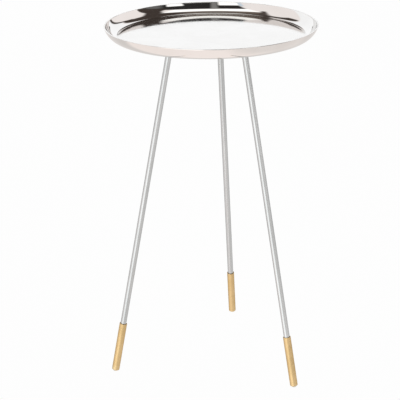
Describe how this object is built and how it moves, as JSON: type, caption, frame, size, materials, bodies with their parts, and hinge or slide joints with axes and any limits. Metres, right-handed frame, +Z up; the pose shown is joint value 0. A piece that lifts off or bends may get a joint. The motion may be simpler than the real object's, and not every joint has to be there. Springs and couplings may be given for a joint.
{
  "type": "three-legged tray side table",
  "caption": "Small round side table: a polished dish tray on slender splayed tubular legs that end in long brass ferrules.",
  "frame": {"origin": "on the floor, under the middle of the tray, at the centre of the circle that the three feet stand on", "axes": "+Z up, through the middle of the tray; +Y towards leg 1, with legs 2 and 3 following anticlockwise seen from above"},
  "size_m": [0.364, 0.378, 0.628],
  "materials": {
    "tray_metal": "polished",
    "leg_steel": "satin",
    "ferrule_brass": "satin",
    "plate_steel": "satin",
    "socket_steel": "satin",
    "hardware_zinc": "satin",
    "washer_plastic": "matte",
    "glide_plastic": "matte"
  },
  "bodies": {
    "root": {"tray": "tray_metal", "mounting_plate": "plate_steel", "plate_screws": "hardware_zinc", "plate_washers": "hardware_zinc", "leg_socket_1": "socket_steel", "leg_socket_2": "socket_steel", "leg_socket_3": "socket_steel", "leg_stud_1": "hardware_zinc", "leg_stud_2": "hardware_zinc", "leg_stud_3": "hardware_zinc", "leg_washer_1": "washer_plastic", "leg_washer_2": "washer_plastic", "leg_washer_3": "washer_plastic", "leg_tube_1": "leg_steel", "leg_tube_2": "leg_steel", "leg_tube_3": "leg_steel", "ferrule_1": "ferrule_brass", "ferrule_2": "ferrule_brass", "ferrule_3": "ferrule_brass", "foot_glide_1": "glide_plastic", "foot_glide_2": "glide_plastic", "foot_glide_3": "glide_plastic"}
  },
  "joints": []
}
